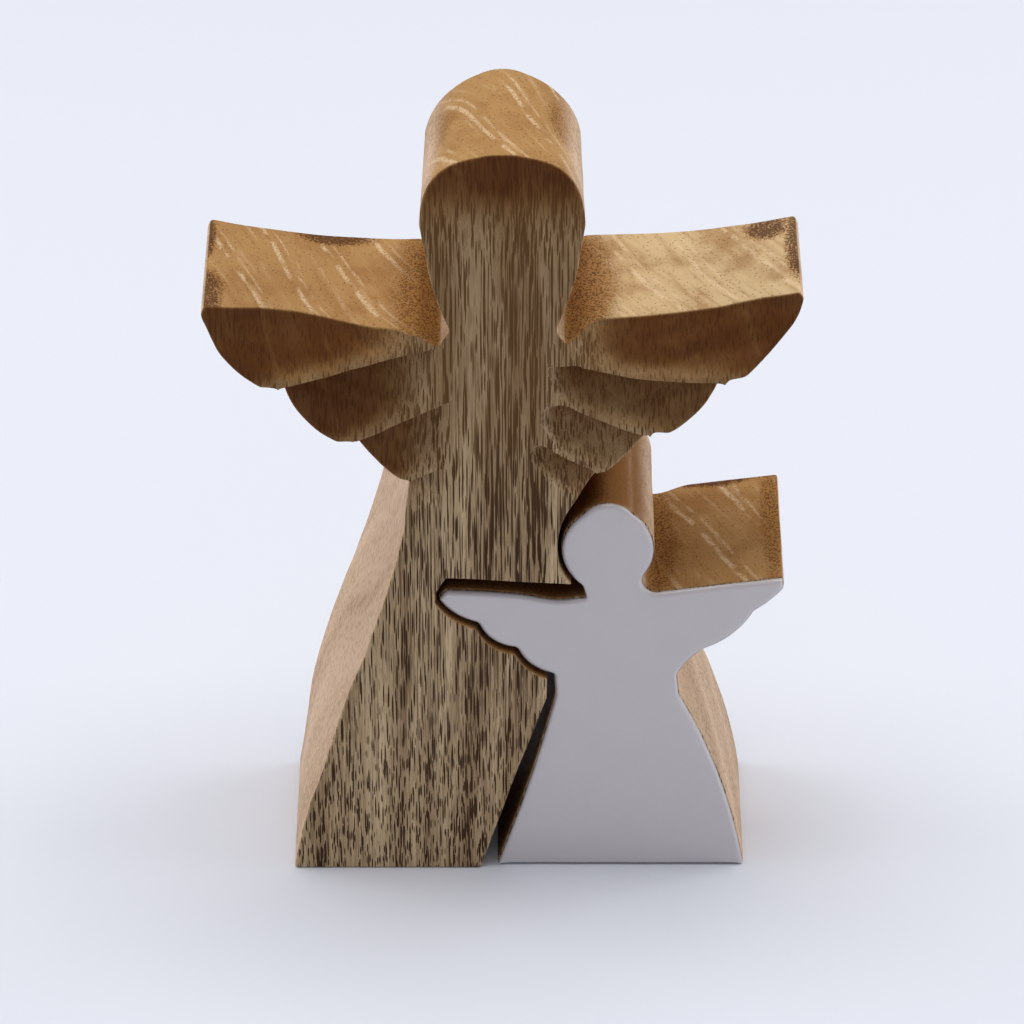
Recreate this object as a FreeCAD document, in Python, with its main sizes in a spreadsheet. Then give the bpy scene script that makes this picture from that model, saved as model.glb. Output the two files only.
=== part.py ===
import FreeCAD, Part
import os
import Sketcher

# Interlocking pair of wooden angels: a large one, sawn from a block, and a small one with an
# enamelled front that stands in a nest cut through the large one's skirt.
#
# Frame: millimetres, +Z up from the table, X to the right, Y away from the front, X = 0 on the
# large angel's own axis and Y = 0 halfway through the block.

doc = FreeCAD.newDocument("interlocking_angels")
X_AXIS = FreeCAD.Vector(1, 0, 0)

# ---------------------------------------------------------------- driving dimensions

SIZES = (
    # the sawn block
    ("block_depth", 30.0, "thickness of the board both angels are sawn from"),
    # large angel, skirt
    ("foot_half", 37.4, "half width at the table"),
    ("flare_half", 33.3, "half width halfway up the flare"),
    ("flare_level", 21.5, "height of that point"),
    ("hip_half", 27.5, "half width where the flare turns hollow"),
    ("hip_level", 42.0, "height of that point"),
    ("waist_half", 20.7, "half width in the hollow"),
    ("waist_level", 64.0, "height of that point"),
    ("shoulder_half", 15.8, "half width where the skirt meets the wings"),
    # large angel, head and neck, measured up from the bottom of the neck notch
    ("neck_level", 114.4, "height of the notch between wing and neck"),
    ("notch_half", 10.6, "half width at the bottom of the notch"),
    ("neck_half", 8.9, "half width of the neck"),
    ("neck_rise", 2.9, "neck above the notch"),
    ("cheek_half", 11.6, "half width at the cheek"),
    ("cheek_rise", 11.4, "cheek above the notch"),
    ("head_half", 13.1, "half width of the head"),
    ("head_rise", 23.1, "widest part of the head above the notch"),
    ("temple_half", 9.8, "half width at the temple"),
    ("temple_rise", 30.2, "temple above the notch"),
    ("crown_half", 4.0, "half width of the rounded crown"),
    ("crown_rise", 34.5, "edge of the crown above the notch"),
    ("head_height", 35.6, "top of the head above the notch"),
    ("face_slope_rise", 15.6, "height of the sloping band at the top of the face"),
    ("face_slope_depth", 3.4, "how far the top of the face leans back"),
    # large angel, wings: shares run from the shoulder (0) to the wing tip (1)
    ("wing_half", 50.3, "half of the wing span"),
    ("wing_root_half", 14.0, "where the top of the wing starts beside the notch"),
    ("wing_root_rise", 1.8, "start of the wing top above the notch"),
    ("wing_top_share", 0.44, "lowest stretch of the wing top"),
    ("wing_top_rise", 2.6, "that stretch above the notch"),
    ("wing_corner_inset", 0.7, "how far the top corner stands in from the tip"),
    ("wing_corner_rise", 5.8, "top corner above the notch"),
    # three feathers, 1 at the tip: heel (inner end), toe, bulge and tip of the lower edge
    ("feather_1_heel_share", 0.638, "inner end of its lower edge"),
    ("feather_1_heel_drop", 8.6, "below the notch"),
    ("feather_1_toe_share", 0.722, "its lowest corner"),
    ("feather_1_toe_drop", 8.6, "below the notch"),
    ("feather_1_bulge_share", 0.893, "middle of its rounded edge"),
    ("feather_1_bulge_drop", 3.4, "below the notch"),
    ("feather_1_tip_share", 1.0, "outer end of its edge"),
    ("feather_1_tip_drop", -4.2, "below the notch"),
    ("feather_2_heel_share", 0.270, "inner end of its lower edge"),
    ("feather_2_heel_drop", 19.6, "below the notch"),
    ("feather_2_toe_share", 0.354, "its lowest corner"),
    ("feather_2_toe_drop", 20.0, "below the notch"),
    ("feather_2_bulge_share", 0.516, "middle of its rounded edge"),
    ("feather_2_bulge_drop", 16.2, "below the notch"),
    ("feather_2_tip_share", 0.614, "outer end of its edge"),
    ("feather_2_tip_drop", 9.8, "below the notch"),
    ("feather_3_heel_share", 0.0, "inner end of its lower edge"),
    ("feather_3_heel_drop", 27.6, "below the notch"),
    ("feather_3_toe_share", 0.046, "its lowest corner"),
    ("feather_3_toe_drop", 27.8, "below the notch"),
    ("feather_3_bulge_share", 0.171, "middle of its rounded edge"),
    ("feather_3_bulge_drop", 24.4, "below the notch"),
    ("feather_3_tip_share", 0.261, "outer end of its edge"),
    ("feather_3_tip_drop", 20.8, "below the notch"),
    # the sloping face gouged above each feather's lower lip
    ("gouge_1_slope", 12.0, "fall of the lip, degrees"),
    ("gouge_1_inner_half", 15.0, "where the gouge starts"),
    ("gouge_1_height", 20.0, "up the face"),
    ("gouge_1_depth", 7.6, "at the top of the face"),
    ("gouge_2_slope", 21.0, "fall of the lip, degrees"),
    ("gouge_2_inner_half", 12.0, "where the gouge starts"),
    ("gouge_2_height", 9.4, "up the face"),
    ("gouge_2_depth", 3.6, "at the top of the face"),
    ("gouge_3_slope", 26.0, "fall of the lip, degrees"),
    ("gouge_3_inner_half", 10.0, "where the gouge starts"),
    ("gouge_3_height", 7.4, "up the face"),
    ("gouge_3_depth", 2.6, "at the top of the face"),
    # small angel: places across are counted from its own axis, rises and drops from its neck
    ("child_axis", 20.0, "sideways place of the small angel's axis"),
    ("child_neck_level", 61.4, "height of the small angel's neck"),
    ("child_left_foot", 21.1, "left foot from the axis"),
    ("child_left_flare", 14.6, "left side of the skirt at the flare"),
    ("child_right_foot", 23.1, "right foot from the axis"),
    ("child_right_flare", 17.6, "right side of the skirt at the flare"),
    ("child_flare_level", 22.6, "height of the flare"),
    ("child_waist", 10.9, "half width at the waist"),
    ("child_waist_drop", 22.6, "waist below the neck"),
    # lower edge of its wings: a heel, then three bulges with a cusp after each, then the tip
    ("child_left_heel", 11.1, "out from the axis"),
    ("child_left_heel_drop", 17.8, "below the neck"),
    ("child_left_bulge_1", 15.0, "out from the axis"),
    ("child_left_bulge_1_drop", 15.9, "below the neck"),
    ("child_left_cusp_1", 17.6, "out from the axis"),
    ("child_left_cusp_1_drop", 12.0, "below the neck"),
    ("child_left_bulge_2", 21.6, "out from the axis"),
    ("child_left_bulge_2_drop", 10.5, "below the neck"),
    ("child_left_cusp_2", 24.2, "out from the axis"),
    ("child_left_cusp_2_drop", 6.6, "below the neck"),
    ("child_left_bulge_3", 28.1, "out from the axis"),
    ("child_left_bulge_3_drop", 4.7, "below the neck"),
    ("child_left_cusp_3", 31.2, "lower corner of the tip"),
    ("child_left_cusp_3_drop", 1.2, "below the neck"),
    ("child_left_tip", 29.8, "upper corner of the tip"),
    ("child_left_tip_drop", -0.7, "above the neck"),
    ("child_right_heel", 10.4, "out from the axis"),
    ("child_right_heel_drop", 18.2, "below the neck"),
    ("child_right_bulge_1", 12.1, "in the hollow beside the waist"),
    ("child_right_bulge_1_drop", 15.2, "below the neck"),
    ("child_right_cusp_1", 15.0, "out from the axis"),
    ("child_right_cusp_1_drop", 12.3, "below the neck"),
    ("child_right_bulge_2", 19.9, "out from the axis"),
    ("child_right_bulge_2_drop", 9.0, "below the neck"),
    ("child_right_cusp_2", 23.3, "out from the axis"),
    ("child_right_cusp_2_drop", 4.1, "below the neck"),
    ("child_right_bulge_3", 25.9, "out from the axis"),
    ("child_right_bulge_3_drop", 2.0, "below the neck"),
    ("child_right_cusp_3", 28.5, "lower corner of the tip"),
    ("child_right_cusp_3_drop", -1.0, "below the neck"),
    ("child_right_tip", 28.2, "upper corner of the tip"),
    ("child_right_tip_drop", -3.1, "above the neck"),
    # its neck and head
    ("child_left_neck", 5.6, "corner between wing and neck"),
    ("child_left_neck_drop", 0.9, "below the neck level"),
    ("child_left_throat", 6.3, "where the head begins"),
    ("child_left_throat_rise", 1.8, "above the neck level"),
    ("child_right_neck", 6.1, "corner between wing and neck"),
    ("child_right_neck_drop", 0.0, "below the neck level"),
    ("child_right_nape", 4.3, "hollow of the neck"),
    ("child_right_nape_rise", 1.7, "above the neck level"),
    ("child_right_throat", 4.5, "where the head begins"),
    ("child_right_throat_rise", 4.2, "above the neck level"),
    ("child_head_shift", 2.0, "head to the left of the axis"),
    ("child_head_half", 8.0, "half width of the head"),
    ("child_head_rise", 9.6, "widest part of the head above the neck"),
    ("child_crown_half", 4.2, "half width of the rounded crown"),
    ("child_crown_rise", 17.0, "edge of the crown above the neck"),
    ("child_head_height", 19.2, "top of the head above the neck"),
    # fits
    ("front_setback", 0.8, "small angel's face behind the large angel's face"),
    ("enamel_thickness", 1.0, "thickness of the coat"),
    ("enamel_edge", 0.3, "bare wood left around the enamel"),
    ("fit_gap", 0.6, "sanding gap between the two angels where they fit closely"),
    ("wing_gap", 3.2, "saw gap above the small angel's left wing"),
    ("foot_gap", 2.8, "saw gap between the skirts at the table"),
    ("waist_gap", 1.4, "saw gap between the skirts at the waist"),
    ("head_gap", 6.0, "room above the small head, where the saw ran out"),
    ("arch_out", 7.5, "arch of that room from the small angel's axis"),
    ("arch_rise", 1.2, "same place above the small head's top"),
    ("overcut", 5.0, "how far every cut runs past the wood"),
)

sheet = doc.addObject("Spreadsheet::Sheet", "Sizes")
for row, (alias, value, note) in enumerate(SIZES, start=1):
    sheet.set(f"A{row}", alias)
    sheet.set(f"B{row}", str(value))
    sheet.setAlias(f"B{row}", alias)
    sheet.set(f"C{row}", note)
doc.recompute()
NAMES = {alias for alias, _, _ in SIZES}


def bound(expression):
    """The expression with every size's name pointed at the sheet, for setExpression."""
    words = expression.replace("(", "( ").replace(")", " )").split()
    return " ".join(f"Sizes.{word}" if word in NAMES else word for word in words)


def number(expression):
    return float(sheet.evalExpression(bound(expression).replace("Sizes.", "")))


# ---------------------------------------------------------------- sketch helpers

def plane(body, role):
    return next(item for item in body.Origin.OriginFeatures if item.Role == role)


def new_sketch(body, name, role):
    sketch = body.newObject("Sketcher::SketchObject", name)
    sketch.AttachmentSupport = [(plane(body, role), "")]
    sketch.MapMode = "FlatFace"
    return sketch


def fix_point(sketch, geometry, end, place):
    """Ties one end of a sketch element to two expressions."""
    for kind, expression in zip(("DistanceX", "DistanceY"), place):
        index = sketch.addConstraint(
            Sketcher.Constraint(kind, -1, 1, geometry, end, number(expression)))
        sketch.setExpression(f"Constraints[{index}]", bound(expression))


def draw_outline(sketch, path):
    """Closes an outline through the path's places.

    Each step is (to,) for a straight edge, or (through, to) for an arc; every place is a pair of
    expressions. The outline starts and ends at the last step's place.
    """
    here = path[-1][-1]
    ends = []
    for step in path:
        points = [FreeCAD.Vector(number(x), number(y), 0) for x, y in (here, *step)]
        if len(step) == 1:
            edge = sketch.addGeometry(Part.LineSegment(points[0], points[1]), False)
            start, finish = 1, 2
        else:
            turn = (points[1] - points[0]).cross(points[2] - points[1]).z
            ordered = points if turn > 0 else points[::-1]
            edge = sketch.addGeometry(Part.Arc(*ordered), False)
            start, finish = (1, 2) if turn > 0 else (2, 1)
            middle = sketch.addGeometry(Part.Point(points[1]), True)
            sketch.addConstraint(Sketcher.Constraint("PointOnObject", middle, 1, edge))
            fix_point(sketch, middle, 1, step[0])
        ends.append((edge, start, finish, step[-1]))
        here = step[-1]
    for (edge, _, finish, place), (following, start, _, _) in zip(ends, ends[1:] + ends[:1]):
        sketch.addConstraint(Sketcher.Constraint("Coincident", edge, finish, following, start))
        fix_point(sketch, edge, finish, place)


def backwards(path):
    """The same open path drawn the other way, from its last place to its first."""
    pairs = list(zip(path, path[1:]))
    return [(*step[:-1], before[-1]) for before, step in reversed(pairs)]


def mirrored(path):
    """The same path drawn backwards on the other side of the axis."""
    return [tuple((f"-1 * ( {x} )", y) for x, y in step) for step in backwards(path)]


# ---------------------------------------------------------------- large angel

REACH = "( wing_half - shoulder_half )"


def feather_place(feather, corner):
    name = f"feather_{feather}_{corner}"
    return (f"shoulder_half + {REACH} * {name}_share", f"neck_level - {name}_drop")


def from_neck(half, rise):
    return (half, f"neck_level + {rise}")


def right_half():
    """Outline of the right half, from the foot up to the crown."""
    path = [
        (("foot_half", "0"),),
        (("flare_half", "flare_level"), ("hip_half", "hip_level")),
        (("waist_half", "waist_level"), feather_place(3, "heel")),
    ]
    for feather in (3, 2, 1):
        if feather != 3:
            path.append((feather_place(feather, "heel"),))
        path.append((feather_place(feather, "toe"),))
        path.append((feather_place(feather, "bulge"), feather_place(feather, "tip")))
    wing_top = (f"shoulder_half + {REACH} * wing_top_share", "neck_level + wing_top_rise")
    return path + [
        (("wing_half - wing_corner_inset", "neck_level + wing_corner_rise"),),
        (wing_top, from_neck("wing_root_half", "wing_root_rise")),
        (("notch_half", "neck_level"),),
        (from_neck("neck_half", "neck_rise"),),
        (from_neck("cheek_half", "cheek_rise"), from_neck("head_half", "head_rise")),
        (from_neck("temple_half", "temple_rise"), from_neck("crown_half", "crown_rise")),
    ]


blank = doc.addObject("PartDesign::Body", "mother_blank")
outline = new_sketch(blank, "mother_outline", "XZ_Plane")
right = right_half()
crown = (("0", "neck_level + head_height"), ("-1 * crown_half", "neck_level + crown_rise"))
draw_outline(outline, right + [crown] + mirrored(right))
board = blank.newObject("PartDesign::Pad", "mother_board")
board.Profile = outline
board.SideType = "Symmetric"
board.setExpression("Length", "Sizes.block_depth")
doc.recompute()
blank_volume = board.Shape.Volume


def wedge_cut(name, depth, height):
    """Sketch of a wedge that deepens from nothing at its foot to depth at height."""
    sketch = new_sketch(blank, name, "YZ_Plane")
    draw_outline(sketch, [
        (("0", "0"),),
        ((depth, height),),
        (("-1 * overcut", height),),
        (("-1 * overcut", "0"),),
    ])
    sketch.setExpression("AttachmentOffset.Base.x", "-Sizes.block_depth / 2")
    return sketch


# Each gouge is a wedge pushed outwards along its feather's lip.
gouges = []
for feather in (1, 2, 3):
    gouge = f"gouge_{feather}"
    profile = wedge_cut(f"{gouge}_profile", f"{gouge}_depth", f"{gouge}_height")
    offset = FreeCAD.Placement(FreeCAD.Vector(), FreeCAD.Rotation(X_AXIS, number(f"{gouge}_slope")))
    profile.AttachmentOffset = offset
    heel_x, heel_z = feather_place(feather, "heel")
    run = f"( {heel_x} - {gouge}_inner_half )"
    profile.setExpression("AttachmentOffset.Base.y", bound(f"{heel_z} + {run} * tan( {gouge}_slope )"))
    profile.setExpression("AttachmentOffset.Base.z", bound(f"{gouge}_inner_half"))
    profile.setExpression("AttachmentOffset.Rotation.Angle", bound(f"{gouge}_slope"))
    cut = blank.newObject("PartDesign::Pocket", gouge)
    cut.Profile = profile
    cut.Reversed = True
    tip_x = feather_place(feather, "tip")[0]
    cut.setExpression("Length", bound(f"{tip_x} - {gouge}_inner_half + overcut"))
    doc.recompute()
    gouges.append(cut)

both_wings = blank.newObject("PartDesign::Mirrored", "gouges_both_wings")
both_wings.Originals = gouges
both_wings.MirrorPlane = (plane(blank, "YZ_Plane"), [""])
blank.Tip = both_wings
doc.recompute()

face_profile = wedge_cut("face_slope_profile", "face_slope_depth", "face_slope_rise + overcut")
face_profile.setExpression("AttachmentOffset.Base.y",
                           bound("neck_level + head_height - face_slope_rise"))
face_slope = blank.newObject("PartDesign::Pocket", "face_slope")
face_slope.Profile = face_profile
face_slope.SideType = "Symmetric"
face_slope.setExpression("Length", bound("2 * head_half + overcut"))
doc.recompute()

# ---------------------------------------------------------------- small angel

NECK = "child_neck_level"
HEAD_MIDDLE = "child_axis - child_head_shift"


def child_place(side, name, away="drop"):
    """A place on one side of the small angel, at its height below or above the neck."""
    across = f"child_axis {'-' if side == 'left' else '+'} child_{side}_{name}"
    height = f"{NECK} {'-' if away == 'drop' else '+'} child_{side}_{name}_{away}"
    return (across, height)


def child_wing(side):
    """Lower edge of one wing, from the waist out to the upper corner of its tip."""
    path = [(child_place(side, "heel"),)]
    for turn in (1, 2, 3):
        path.append((child_place(side, f"bulge_{turn}"), child_place(side, f"cusp_{turn}")))
    return path + [(child_place(side, "tip"),)]


def child_skirt(side):
    """One side of the skirt from the foot up to the waist."""
    sign = "-" if side == "left" else "+"
    return [
        ((f"child_axis {sign} child_{side}_foot", "0"),),
        ((f"child_axis {sign} child_{side}_flare", "child_flare_level"),
         (f"child_axis {sign} child_waist", f"{NECK} - child_waist_drop")),
    ]


def head_side(sign, rise):
    return (f"{HEAD_MIDDLE} {sign} child_head_half", f"{NECK} + {rise}")


child_head = [
    (child_place("right", "neck"),),
    (child_place("right", "nape", "rise"), child_place("right", "throat", "rise")),
    (head_side("+", "child_head_rise"),
     (f"{HEAD_MIDDLE} + child_crown_half", f"{NECK} + child_crown_rise")),
    ((HEAD_MIDDLE, f"{NECK} + child_head_height"),
     (f"{HEAD_MIDDLE} - child_crown_half", f"{NECK} + child_crown_rise")),
    (head_side("-", "child_head_rise"), child_place("left", "throat", "rise")),
    (child_place("left", "neck"),),
]
left_side = child_skirt("left") + child_wing("left")
child_path = (child_skirt("right") + child_wing("right") + child_head
              + [(left_side[-1][-1],)] + backwards(left_side))

child_wood = doc.addObject("PartDesign::Body", "child_wood")
child_outline = new_sketch(child_wood, "child_outline", "XZ_Plane")
draw_outline(child_outline, child_path)
child_outline.setExpression("AttachmentOffset.Base.z", "-Sizes.block_depth / 2")
CHILD_DEPTH = "Sizes.block_depth - Sizes.front_setback - Sizes.enamel_thickness"
child_board = child_wood.newObject("PartDesign::Pad", "child_board")
child_board.Profile = child_outline
child_board.setExpression("Length", CHILD_DEPTH)
child_wood.Label = "child_angel"
doc.recompute()

# The enamel is a coat on the front face, a little smaller than the wood under it.
enamel_outline = doc.addObject("Part::Offset2D", "enamel_outline")
enamel_outline.Source = child_outline
enamel_outline.setExpression("Value", "-Sizes.enamel_edge")
enamel = doc.addObject("Part::Extrusion", "enamel_coat")
enamel.Base = enamel_outline
enamel.DirMode = "Custom"
enamel.Dir = FreeCAD.Vector(0, -1, 0)
enamel.Solid = True
enamel.setExpression("LengthFwd", "Sizes.enamel_thickness")
enamel.setExpression("Placement.Base.y", f"-1 * ( {CHILD_DEPTH} )")
enamel.Label = "child_enamel"
doc.recompute()

# ---------------------------------------------------------------- nest

# The nest follows the small angel's own outline at the fit's gap.
nest_outline = doc.addObject("Part::Offset2D", "nest_outline")
nest_outline.Source = child_outline
nest_outline.setExpression("Value", "Sizes.fit_gap")
nest = doc.addObject("Part::Extrusion", "nest")
nest.Base = nest_outline
nest.DirMode = "Custom"
nest.Dir = FreeCAD.Vector(0, -1, 0)
nest.Solid = True
nest.setExpression("LengthFwd", "Sizes.block_depth + Sizes.overcut")
nest.setExpression("LengthRev", "Sizes.overcut")

# The saw ran wider above the left wing, over the head and down the skirt, and took off
# everything to the right of the small angel. Beside the head the nest keeps to the fit's gap.
TIP = "child_axis - child_left_cusp_3"
HEAD_LEFT = f"{HEAD_MIDDLE} - child_head_half - fit_gap"
ARCH_TOP = f"{NECK} + child_head_height + head_gap"
FAR_RIGHT = "foot_half + wing_half"
wing_top, wing_root = child_place("left", "tip"), child_place("left", "neck")
waist_level = f"{NECK} - child_waist_drop"
waste_path = [
    ((f"{TIP} - fit_gap", NECK),),
    ((wing_top[0], f"{wing_top[1]} + wing_gap"),),
    ((HEAD_MIDDLE, f"{wing_root[1]} + wing_gap"),),
    ((HEAD_LEFT, f"{NECK} + child_head_rise"),),
    (("child_axis - arch_out", f"{NECK} + child_head_height + arch_rise"),
     (HEAD_MIDDLE, ARCH_TOP)),
    ((FAR_RIGHT, ARCH_TOP),),
    ((FAR_RIGHT, "-1 * overcut"),),
    (("child_axis - child_left_foot - foot_gap", "-1 * overcut"),),
    (("child_axis - child_left_foot - foot_gap", "0"),),
    (("child_axis - child_left_flare - foot_gap", "child_flare_level"),
     ("child_axis - child_waist - waist_gap", waist_level)),
    (("child_axis - child_waist - waist_gap", child_place("left", "heel")[1]),),
    (("child_axis", child_place("left", "heel")[1]),),
    (("child_axis", wing_root[1]),),
    ((wing_top[0], wing_root[1]),),
]
waste = doc.addObject("PartDesign::Body", "saw_waste")
waste_outline = new_sketch(waste, "waste_outline", "XZ_Plane")
draw_outline(waste_outline, waste_path)
waste_board = waste.newObject("PartDesign::Pad", "waste_board")
waste_board.Profile = waste_outline
waste_board.SideType = "Symmetric"
waste_board.setExpression("Length", "Sizes.block_depth + 2 * Sizes.overcut")
doc.recompute()

nested = doc.addObject("Part::Cut", "mother_with_nest")
nested.Base = blank
nested.Tool = nest
mother = doc.addObject("Part::Cut", "mother_sawn")
mother.Base = nested
mother.Tool = waste
mother.Label = "mother_angel"
doc.recompute()

# ---------------------------------------------------------------- checks and files

PARTS = (mother, child_wood, enamel)

for item in doc.Objects:
    faults = {"Invalid", "Error"} & set(item.State)
    assert not faults, f"{item.Label} did not build: {faults}"
for part in PARTS:
    assert not part.Shape.isNull() and part.Shape.isValid(), f"{part.Label} has no valid shape"
    assert len(part.Shape.Solids) == 1, f"{part.Label} is {len(part.Shape.Solids)} solids"
assert both_wings.Shape.Volume < blank_volume, "the gouges cut nothing"
assert face_slope.Shape.Volume < both_wings.Shape.Volume, "the sloping face cut nothing"
assert mother.Shape.Volume < nested.Shape.Volume < face_slope.Shape.Volume, "no nest was cut"

os.makedirs("parts", exist_ok=True)
for part in PARTS:
    part.Shape.exportStep(f"parts/{part.Label}.step")
    box = part.Shape.BoundBox
    print(f"{part.Label}: {part.Shape.Volume / 1000:.1f} cm3,"
          f" {box.XLength:.1f} x {box.YLength:.1f} x {box.ZLength:.1f} mm,"
          f" centre of mass {part.Shape.Solids[0].CenterOfMass.x:.1f} mm across")
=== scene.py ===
# %% [markdown]
# # A pair of carved wooden angels
#
# A large angel and a small one are sawn from the same board. The small one has a glossy white
# face and stands in a nest cut through the large one's skirt. This lesson dresses the packed
# CAD model: the frame already holds the outlines, the nest and the sliding joint, and here each
# piece gets a finely carved mesh and a finish of its own.
#
# Everything is worked out in millimetres and scaled to metres at the very end, because a
# carver's numbers, such as a 4 mm deep gouge, are easier to read that way.

# %% Load the frame
import math

import bpy
import numpy as np
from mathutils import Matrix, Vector, geometry, noise


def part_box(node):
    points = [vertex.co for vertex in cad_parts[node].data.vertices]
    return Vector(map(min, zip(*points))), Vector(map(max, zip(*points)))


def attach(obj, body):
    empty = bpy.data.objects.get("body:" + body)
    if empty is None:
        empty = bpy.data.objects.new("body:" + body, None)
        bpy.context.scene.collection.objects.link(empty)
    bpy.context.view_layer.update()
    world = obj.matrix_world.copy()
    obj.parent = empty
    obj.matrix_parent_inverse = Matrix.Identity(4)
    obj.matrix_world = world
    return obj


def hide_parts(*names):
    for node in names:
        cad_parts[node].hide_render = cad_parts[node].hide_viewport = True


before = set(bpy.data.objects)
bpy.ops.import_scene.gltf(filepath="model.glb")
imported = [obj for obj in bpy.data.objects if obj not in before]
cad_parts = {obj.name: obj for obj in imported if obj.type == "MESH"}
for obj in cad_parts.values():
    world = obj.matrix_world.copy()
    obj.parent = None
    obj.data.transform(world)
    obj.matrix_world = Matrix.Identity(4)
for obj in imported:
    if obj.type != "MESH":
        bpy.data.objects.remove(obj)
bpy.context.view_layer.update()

MM = 0.001

# %% [markdown]
# ## The camera
#
# The set is seen from the front, from about 37 degrees above level, through a long lens. A long
# lens keeps the board's edges nearly parallel, so the thickness of the wood reads clearly. The
# camera is placed by the point it looks at and its distance from there.

# %% Place the camera
LOOK_DOWN = math.radians(37)
CAMERA_DISTANCE = 900.0
LOOK_AT = Vector((1.56, -15.0, 79.858))

camera = bpy.data.objects.new("camera", bpy.data.cameras.new("camera"))
camera.data.lens = 186.05
camera.data.clip_start = 0.05
back_off = Vector((0, -math.cos(LOOK_DOWN), math.sin(LOOK_DOWN))) * CAMERA_DISTANCE
camera.location = (LOOK_AT + back_off) * MM
camera.rotation_euler = (math.pi / 2 - LOOK_DOWN, 0, 0)
bpy.context.scene.collection.objects.link(camera)
bpy.context.scene.camera = camera
print("camera at", [round(v, 3) for v in camera.location], "metres")

# %% [markdown]
# ## Taking an outline from the frame
#
# Both angels are boards: one outline, cut square through 30 mm of wood. That outline is already
# in the CAD model, as the rim of each node's flat back. An edge that belongs to only one of the
# back's triangles lies on the rim, and following those edges from point to point gives the
# closed line that the saw took.

# %% Read the rim of a node's back
FLAT = 0.01


def back_rim(node):
    """The rim of a node's back face as an array of (x, z), in millimetres."""
    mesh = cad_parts[node].data
    points = np.array([v.co for v in mesh.vertices]) / MM
    names = [tuple(p) for p in np.round(points[:, [0, 2]], 3)]
    on_back = np.abs(points[:, 1] - points[:, 1].max()) < FLAT
    uses = {}
    for face in mesh.polygons:
        if all(on_back[i] for i in face.vertices):
            for a, b in face.edge_keys:
                key = frozenset((names[a], names[b]))
                uses[key] = uses.get(key, 0) + 1
    beside = {}
    for key, count in uses.items():
        if count == 1:
            a, b = key
            beside.setdefault(a, []).append(b)
            beside.setdefault(b, []).append(a)
    start = min(beside)
    rim, last, here = [start], None, start
    while True:
        following = next(p for p in beside[here] if p != last)
        if following == start and len(rim) > 2:
            break
        rim.append(following)
        last, here = here, following
    rim = np.array(rim)
    ahead = np.roll(rim, -1, axis=0)
    area = 0.5 * np.sum(rim[:, 0] * ahead[:, 1] - ahead[:, 0] * rim[:, 1])
    return rim if area > 0 else rim[::-1]


mother_rim = back_rim("mother_angel")
child_rim = back_rim("child_angel")
print("rim points:", len(mother_rim), "large,", len(child_rim), "small")

# %% [markdown]
# ## Softening the saw's line
#
# The CAD rim is made of straight chords with crisp corners. A real sawn edge has been sanded by
# hand, so its corners are a little round. The rim is divided into short equal steps, and every
# point is then pulled towards its two neighbours a few times: long curves stay where they are,
# and only the corners give way.

# %% Resample and soften a closed line
def resample(rim, step):
    """The closed line divided into equal steps of about this length."""
    closed = np.vstack([rim, rim[:1]])
    lengths = np.linalg.norm(np.diff(closed, axis=0), axis=1)
    along = np.concatenate([[0], np.cumsum(lengths)])
    places = np.linspace(0, along[-1], int(along[-1] / step), endpoint=False)
    return np.stack([np.interp(places, along, closed[:, k]) for k in (0, 1)], axis=1)


def soften(values, passes):
    """Each value of a closed line pulled towards its neighbours, this many times."""
    for _ in range(passes):
        values = values / 2 + (np.roll(values, 1, axis=0) + np.roll(values, -1, axis=0)) / 4
    return values


def outward(rim):
    """Unit vectors pointing out of the wood, for an outline that runs anticlockwise."""
    along = np.roll(rim, -1, axis=0) - np.roll(rim, 1, axis=0)
    along /= np.linalg.norm(along, axis=1)[:, None]
    return np.stack([along[:, 1], -along[:, 0]], axis=1)


def between(low, high, value):
    """0 below low, 1 above high, and a smooth step from one to the other."""
    share = np.clip((value - low) / (high - low), 0, 1)
    return share * share * (3 - 2 * share)


sawn = np.linalg.norm(np.roll(mother_rim, -1, axis=0) - mother_rim, axis=1).sum()
print("the saw travels", round(float(sawn)), "mm round the large angel")

# %% [markdown]
# ## Made by hand
#
# The two wings come from one pattern, but each was sawn and sanded by hand. The left wing hangs
# a little lower and fuller, and the right one was taken further back. The pattern is moved up on
# one side and down on the other, more at the feathers than along the top of the wing.

# %% Move the wings off the pattern
# Where each wing begins and is fully reached, out from the axis and up from the foot.
WING_START, WING_FULL = 8.0, 17.0
WING_FOOT, WING_LEVEL = 78, 86
HEAD_START = 124
NECK_LOW, NECK_HIGH = 112.4, 117.4
TOE_OUT, TOE_WIDTH = 44.5, 3.5
TOP_DRIFT, FEATHER_DRIFT, TOE_DRIFT = 0.35, 0.85, 0.55


def by_hand(rim):
    """The large angel's rim with each wing drifted off the shared pattern."""
    x, z = rim.T
    wing = between(WING_START, WING_FULL, np.abs(x)) * between(WING_FOOT, WING_LEVEL, z)
    wing = wing * (z < HEAD_START)
    low = 1 - between(NECK_LOW, NECK_HIGH, z)
    toe = np.exp(-((np.abs(x) - TOE_OUT) / TOE_WIDTH) ** 2)
    drift = TOP_DRIFT + (FEATHER_DRIFT - TOP_DRIFT + TOE_DRIFT * toe) * low
    return np.stack([x, z + np.sign(x) * wing * drift], axis=1)


SAW_STEP = 0.32
mother_line = soften(by_hand(resample(mother_rim, SAW_STEP)), 3)
child_line = soften(resample(child_rim, SAW_STEP), 2)
print("points along the lines:", len(mother_line), "large,", len(child_line), "small")

# %% [markdown]
# ## The feathers
#
# The front is a relief. Each feather's face was gouged so that it slopes back from a proud lower
# lip to its top edge, where the next feather's lip stands over it. That can be written as a
# depth below the flat front for every place (x, z): find the feather the place is on, measure how
# far up from its lip it is, and deepen with that height. The lips are drawn through a few places
# each, because the carver did not use a ruler.

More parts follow.
